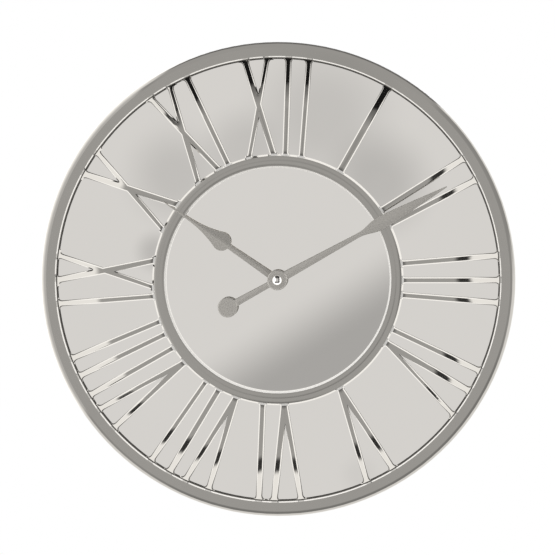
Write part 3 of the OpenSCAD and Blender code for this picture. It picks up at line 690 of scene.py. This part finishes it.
class CLOCK_OT_metalwork(ClockOperator):
    """Polish the rim, the inner ring and the twelve numerals"""

    bl_idname = "clock.metalwork"
    bl_label = "Rings and numerals"

    def execute(self, context):
        look = context.scene.clock_metalwork
        nickel = polished_metal("polished_nickel", look.nickel, look.gloss)
        # Painted highlight: a lighter copy of the nickel for the sloping edges
        bright = polished_metal("painted_highlight_edge", look.bright, look.edge_gloss)
        # The rim's lip: painted highlight outside the lip's edge radius, painted shade inside it
        lip_with_painted_light_and_shade = metal_with_painted_edge_and_shade(
            "lip_with_painted_light_and_shade",
            look.lip,
            look.seam,
            metallic=0.6,
            start=look.lip_edge_r,
            soft=0.15 * MM,
            measure=off_axis,
        )
        # The numerals' sides: painted highlight high up, painted shade at the root by the mirror
        side_with_painted_light_and_shade = metal_with_painted_edge_and_shade(
            "numeral_side_painted_light_and_shade",
            look.bright,
            look.seam,
            metallic=1.0,
            start=look.side_root,
            soft=0.4 * MM,
            measure=off_dial,
        )
        # Painted highlight, nearly white, for the inner half of the ring's slopes
        pale = polished_metal("painted_highlight_pale_edge", look.lip, look.edge_gloss, metallic=0.2)
        # Painted shade for the ledge under the lip and the numerals' backs
        seam = satin_metal("dark_painted_shade", look.seam, ROOT_ROUGHNESS)

        # The lip gets its painted highlight and shade, and the ledge under it painted shade
        lip = (lip_with_painted_light_and_shade, look.lip_r, *SLOPING)
        ledge = (seam, look.ledge_r, *ANY_WAY)
        dress("outer_rim", nickel, crease=RING_CREASE, extra=(lip, ledge))
        # Painted highlight on the ring's sloping faces, and a paler painted highlight on their inner half
        slopes = (bright, WHOLE_CLOCK, *SLOPING)
        inside = (pale, look.ring_mid_r, *SLOPING)
        dress("inner_ring", nickel, crease=RING_CREASE, extra=(slopes, inside), flat=False)

        ring_low, ring_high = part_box("inner_ring")
        ring_r = (ring_high.x - ring_low.x) / 2
        # The numerals' faces get a painted highlight at the ring and painted shade beside it
        ring_painted_nickel = metal_with_painted_ring_highlight_and_shade("nickel_painted_at_ring", look.nickel, look.bright, look.gloss, ring_r)
        # Painted highlight and shade on the numerals' sides, painted shade on their backs
        sides = (side_with_painted_light_and_shade, WHOLE_CLOCK, *SLOPING)
        backs = (seam, WHOLE_CLOCK, *BACKWARD)
        form = {"lean": look.numeral_lean, "crown": look.numeral_crown}
        for node in NUMERALS:
            dress(node, ring_painted_nickel, extra=(sides, backs), **form)
        return {"FINISHED"}


class CLOCK_OT_mirror(ClockOperator):
    """Silver the dial"""

    bl_idname = "clock.mirror"
    bl_label = "Mirror dial"

    def execute(self, context):
        look = context.scene.clock_dial
        dress("mirror_glass", silvered_glass("silvered_glass", look.silver))
        return {"FINISHED"}


class CLOCK_OT_hands(ClockOperator):
    """Finish the two hands and their cap nut"""

    bl_idname = "clock.hands"
    bl_label = "Hands"

    def execute(self, context):
        look = context.scene.clock_dial
        satin = {"roughness": look.hand_gloss, "metallic": look.hand_metal}
        dress("hour_hand", satin_metal("satin_nickel", look.hand, **satin), look.hand_edge)
        # A lighter copy of the satin nickel for the minute hand: painted light
        pale = satin_metal("satin_nickel_painted_lighter", look.minute_hand, flatness=1.0, **satin)
        dress("minute_hand", pale, look.hand_edge)
        dress("cap_nut", polished_metal("bright_cap", look.cap, roughness=0.02, flatness=0.3))
        return {"FINISHED"}


class CLOCK_OT_back(ClockOperator):
    """Finish the backboard, the hanger and their screws"""

    bl_idname = "clock.back"
    bl_label = "Backboard and hanger"

    def execute(self, context):
        look = context.scene.clock_back
        dress("backboard", fibreboard("fibreboard", look.board))
        zinc = zinc_plate("zinc_plate", look.steel)
        dress("hanger_bracket", zinc, look.steel_edge)
        for node in ("back_screws", "hanger_screws"):
            dress(node, zinc)
        return {"FINISHED"}


class CLOCK_OT_works(ClockOperator):
    """Finish the quartz movement, its wheels and its circuit"""

    bl_idname = "clock.works"
    bl_label = "Movement"

    def execute(self, context):
        look = context.scene.clock_works
        plastic = moulded_plastic("case_plastic", look.plastic, roughness=0.42, grain=1500.0)
        for node in ("movement_plate", "movement_case"):
            dress(node, plastic, look.case_edge)
        dress("setting_knob", plastic)
        dress("dial_gasket", moulded_plastic("gasket_rubber", look.rubber, roughness=0.75, grain=900.0))
        brass = turned_brass("turned_brass", look.brass)
        wheels = ("centre_wheel", "hour_wheel", "motion_wheel", "third_wheel", "seconds_wheel")
        for node in ("bushing_washer", "bushing_nut", *wheels):
            dress(node, brass)
        dress("fifth_wheel", moulded_plastic("gear_nylon", look.nylon, roughness=0.3, grain=2000.0))
        dress("rotor", moulded_plastic("magnet", look.magnet, roughness=0.5, grain=2500.0))
        dress("stator", zinc_plate("stator_steel", look.can))
        dress("coil", wound_copper("wound_copper", look.copper))
        dress("circuit_board", laminate("laminate", look.lacquer, look.track))
        can = satin_metal("contact_metal", look.can, roughness=0.2)
        for node in ("quartz_crystal", "positive_contact", "negative_contact"):
            dress(node, can)
        low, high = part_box("battery")
        dress("battery", wrapped_cell("wrapped_cell", look.wrap, look.band, look.can, low.x, high.x))
        return {"FINISHED"}


# Soft dark screens: metres right of and above the dial's centre where they show, their radius and depth
SCREENS = (
    (-0.108, 0.108, 0.052, 0.19),
    (-0.036, 0.137, 0.042, 0.17),
    (0.047, 0.170, 0.075, 0.175),
    (0.107, 0.100, 0.055, 0.25),
    (-0.128, 0.027, 0.022, 0.24),
    (0.086, -0.207, 0.020, 0.06),
)
# Parts of a screen's radius where it starts to fade and is gone
SCREEN_FADE = (0.2, 1.3)
# Metres from the dial's centre, behind the inner ring, between which the screens come in
RING_BAND = (0.118, 0.131)
# Shadow inside the ring: its direction right and up, metres along it where it starts and is full, its depth
SHADOW_RIGHT, SHADOW_UP = 0.53, -0.85
SHADOW_REACH = (0.025, 0.092)
SHADOW_DEPTH = 0.42
# Degrees off the camera's axis where the ceiling or the grey floor starts and is full
CEILING_EDGE = (22.0, 26.0)
# Half width in degrees of the soft edges of the far flags, and of the left and top parts of the studio
FLAG_SOFT = 3.0
FLAG_END_SOFT = 8.0
PART_SOFT = 2.5
# How many times the dark flag swings in and out on its way round
SWINGS = 4

# Soft lamps: metres right of, behind and above the clock's centre
LAMPS = {"front_lamp": (-1.2, -1.8, 1.6), "rear_lamp": (-1.0, 1.8, 1.4)}


def camera_axes(look):
    """Unit vectors right of, above and ahead of the camera."""
    turn = Matrix.Rotation(look.turn, 3, "Z")
    tilt = Matrix.Rotation(-look.rise, 3, "X")
    return [turn @ tilt @ axis for axis in (Vector((1, 0, 0)), Vector((0, 0, 1)), Vector((0, 1, 0)))]


def room_light(sheet, look, across, lift, ahead):
    """The grey room with its soft dark screens, placed as the dial shows them."""
    least_ahead = 0.1
    near = ahead.math("MAXIMUM", ahead, least_ahead)
    right = look.distance * across / near
    high = look.distance * lift / near
    outer = sheet.step((right * right + high * high) ** 0.5, *RING_BAND)
    light = look.grey
    for screen_right, screen_high, radius, depth in SCREENS:
        off = ((right - screen_right) ** 2.0 + (high - screen_high) ** 2.0) ** 0.5
        screen = 1 - sheet.step(off, *(radius * part for part in SCREEN_FADE))
        light = light * (1 - depth * outer * screen)
    shadow = sheet.step(SHADOW_RIGHT * right + SHADOW_UP * high, *SHADOW_REACH) * (1 - outer)
    return light * (1 - SHADOW_DEPTH * shadow)


def studio_pattern(sheet, look):
    """The light that polished surfaces show: a grey room, black flags, white screens and a ceiling.

    It goes by direction, in degrees from the camera's axes as the dial mirrors them: turn is how far off the
    axis, and clock is the way round it from the top.
    """
    x, y, z = sheet.axes(sheet.add("ShaderNodeTexCoord", output="Generated"))
    across, lift, ahead = (x * axis.x - y * axis.y + z * axis.z for axis in camera_axes(look))
    side = (across * across + lift * lift) ** 0.5
    turn = DEGREES * side.math("ARCTAN2", side, ahead)
    clock = DEGREES * across.math("ARCTAN2", across, lift)

    def blend(light, target, share):
        return light * (1 - share) + target * share

    def banded(light, *bands):
        """Goes over to the light of each band in turn, between two angles off the axis."""
        for target, low, high in bands:
            light = blend(light, target, sheet.step(turn, low, high))
        return light

    def zone(middle, reach, soft):
        """1 in a range of clock directions."""
        return 1 - sheet.step(abs(clock - middle), reach - soft, reach + soft)

    def flagged(light, level, inside, low, high):
        """Puts a flag in front of a light, between two angles off the axis."""
        starts, ends = (sheet.step(turn, edge - FLAG_SOFT, edge + FLAG_SOFT) for edge in (low, high))
        return blend(light, level, inside * starts * (1 - ends))

    room = room_light(sheet, look, across, lift, ahead)
    swing = clock.math("COSINE", clock * (SWINGS / DEGREES))
    dark_from = 6.0 - 0.75 * swing
    dark_to = 11.3 - 1.4 * swing
    lower = banded(
        room,
        (look.dark, dark_from - 1.2, dark_from + 1.0),
        (look.white, dark_to - 1.2, dark_to + 0.9),
        (look.ceiling, *CEILING_EDGE),
        (look.far_white, 60.0, 74.0),
    )
    below = zone(150.0, 42.0, FLAG_END_SOFT) + zone(-180.0, 30.0, FLAG_END_SOFT)
    lower = flagged(lower, look.low_flag, below, low=40.0, high=76.0)
    lower = flagged(lower, look.right_flag, zone(58.0, 28.0, FLAG_END_SOFT), low=46.0, high=105.0)
    left = banded(
        room,
        (look.white, 4.6, 6.8),
        (0.7 * look.far_white, 22.0, 30.0),
        (1.4 * look.far_white, 45.0, 120.0),
    )
    top = banded(
        room,
        (look.dim, 3.6, 10.4),
        (look.black, 9.8, 11.6),
        (1.2 * look.ceiling, *CEILING_EDGE),
        (look.dim, 96.0, 106.0),
    )
    is_left = zone(-81.5, 43.5, PART_SOFT)
    is_top = zone(4.5, 37.5, PART_SOFT)
    return lower * (1 - is_left) * (1 - is_top) + left * is_left + top * is_top * (1 - is_left)


def studio_world(look):
    """White for the camera, the studio for polished surfaces, even light for the rest."""
    world = bpy.data.worlds.new("studio")
    world.use_nodes = True
    world.cycles.sampling_method = "NONE"
    sheet = Sheet(world.node_tree)
    past_first_bounce = 1.5
    rays = sheet.add("ShaderNodeLightPath", output="Is Camera Ray")
    glossy = rays.other("Is Glossy Ray")
    seen = rays + rays.other("Is Transmission Ray")
    twice = rays.other("Glossy Depth") > past_first_bounce
    shown = studio_pattern(sheet, look) * (1 - twice) + look.fill * twice
    level = shown * glossy + look.plain * (1 - glossy)
    strength = seen + level * (1 - seen)
    light = sheet.add("ShaderNodeBackground", inputs={"Color": opaque(look.tint), "Strength": strength})
    white = sheet.add("ShaderNodeBackground", inputs={"Color": opaque((1.0, 1.0, 1.0)), "Strength": 1.0})
    both = sheet.add("ShaderNodeMixShader", inputs={0: seen, 1: light, 2: white})
    sheet.add("ShaderNodeOutputWorld", inputs={"Surface": both})
    return world


class CLOCK_OT_stage(ClockOperator):
    """Set up the studio: world, lamps, floor and camera"""

    bl_idname = "clock.stage"
    bl_label = "Studio"

    def execute(self, context):
        scene = context.scene
        look = scene.clock_studio
        scene.view_settings.view_transform = "Standard"
        scene.world = studio_world(look)
        for name, offset in LAMPS.items():
            self.lamp(scene, look, name, Vector(offset))
        self.floor(scene, look)
        self.camera(scene, look)
        return {"FINISHED"}

    def lamp(self, scene, look, name, offset):
        """A round lamp aimed at the clock, which neither the camera nor polished surfaces show."""
        data = bpy.data.lights.new(name, "AREA")
        data.shape = "DISK"
        data.size = look.lamp_size
        data.energy = look.lamp_power
        lamp = bpy.data.objects.new(name, data)
        lamp.location = CLOCK_CENTRE + offset
        lamp.rotation_mode = "QUATERNION"
        lamp.rotation_quaternion = (-offset).to_track_quat("-Z", "Y")
        lamp.visible_glossy = False
        lamp.visible_camera = False
        scene.collection.objects.link(lamp)

    def floor(self, scene, look):
        half = look.floor_size / 2
        level = CLOCK_CENTRE.z - look.floor_drop
        corners = [(x * half, y * half, level) for x, y in ((-1, -1), (1, -1), (1, 1), (-1, 1))]
        mesh = bpy.data.meshes.new("floor")
        mesh.from_pydata(corners, [], [(0, 1, 2, 3)])
        floor = bpy.data.objects.new("floor", mesh)
        floor.visible_glossy = False
        scene.collection.objects.link(floor)
        material, sheet = new_finish("pale_floor")
        tone = sheet.noise(scale=3.0, detail=3.0)
        sheet.surface(base_color=sheet.shade(tone, look.floor, dark=0.97), roughness=0.8)
        mesh.materials.append(material)

    def camera(self, scene, look):
        data = bpy.data.cameras.new("camera")
        data.lens = data.sensor_width * look.distance / look.view_w
        camera = bpy.data.objects.new("camera", data)
        aim = CLOCK_CENTRE + Vector((-look.aim_left, 0.0, look.aim_up))
        sight = camera_axes(look)[2]
        camera.location = aim - sight * look.distance
        camera.rotation_mode = "QUATERNION"
        camera.rotation_quaternion = sight.to_track_quat("-Z", "Y")
        scene.collection.objects.link(camera)
        scene.camera = camera


class CLOCK_PT_panel(bpy.types.Panel):
    """Lists the clock's operators and settings"""

    bl_idname = "CLOCK_PT_panel"
    bl_label = "Mirror clock"
    bl_space_type = "VIEW_3D"
    bl_region_type = "UI"
    bl_category = "Clock"

    def draw(self, context):
        for operator, settings in STEPS:
            self.layout.operator(operator.bl_idname)
            group = getattr(context.scene, settings)
            for name in group.bl_rna.properties.keys():
                if name not in ("rna_type", "name"):
                    self.layout.prop(group, name)


SETTINGS = {
    "clock_metalwork": MetalworkSettings,
    "clock_dial": DialSettings,
    "clock_back": BackSettings,
    "clock_works": WorksSettings,
    "clock_studio": StudioSettings,
}
STEPS = (
    (CLOCK_OT_metalwork, "clock_metalwork"),
    (CLOCK_OT_mirror, "clock_dial"),
    (CLOCK_OT_hands, "clock_dial"),
    (CLOCK_OT_back, "clock_back"),
    (CLOCK_OT_works, "clock_works"),
    (CLOCK_OT_stage, "clock_studio"),
)
CLASSES = (*SETTINGS.values(), *(operator for operator, settings in STEPS), CLOCK_PT_panel)


def register():
    for cls in CLASSES:
        bpy.utils.register_class(cls)
    for name, group in SETTINGS.items():
        setattr(bpy.types.Scene, name, PointerProperty(type=group))


def unregister():
    for name in SETTINGS:
        delattr(bpy.types.Scene, name)
    for cls in reversed(CLASSES):
        bpy.utils.unregister_class(cls)


def main():
    register()
    bpy.ops.clock.metalwork()
    bpy.ops.clock.mirror()
    bpy.ops.clock.hands()
    bpy.ops.clock.back()
    bpy.ops.clock.works()
    bpy.ops.clock.stage()


if __name__ == "__main__":
    main()
